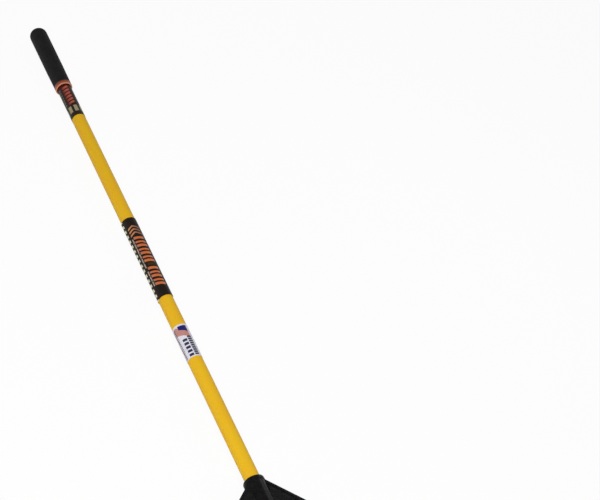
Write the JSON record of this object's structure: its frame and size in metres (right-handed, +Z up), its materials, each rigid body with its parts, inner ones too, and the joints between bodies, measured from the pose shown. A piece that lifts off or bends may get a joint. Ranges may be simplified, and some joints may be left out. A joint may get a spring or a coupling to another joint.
{
  "type": "leaf rake",
  "caption": "Leaf rake with a moulded fan head of hooked tines, a round fibreglass handle with a sleeve and labels, and a cushioned grip.",
  "frame": {"origin": "centre of the base of the whole rake's box, on the ground that the tine tips and the grip's end rest on", "axes": "+Y runs along the handle from the head to the grip, +X across the head, +Z up from the ground"},
  "size_m": [0.7616, 1.8002, 0.065],
  "materials": {
    "black_moulding": "satin moulded polypropylene",
    "yellow_fibreglass": "satin pultruded fibreglass",
    "plug_wood": "bare turned wood",
    "screw_steel": "zinc-plated steel",
    "grip_rubber": "soft matte cushion grip",
    "orange_ring": "satin moulded plastic",
    "black_sleeve": "shrunk printed film",
    "black_label": "printed film label",
    "white_label": "printed coated paper"
  },
  "bodies": {
    "root": {"rake_head": "black_moulding", "handle_tube": "yellow_fibreglass", "core_plug": "plug_wood", "head_screw": "screw_steel", "grip_sleeve": "grip_rubber", "grip_ring": "orange_ring", "middle_sleeve": "black_sleeve", "top_label": "black_label", "small_label": "white_label"}
  },
  "joints": []
}
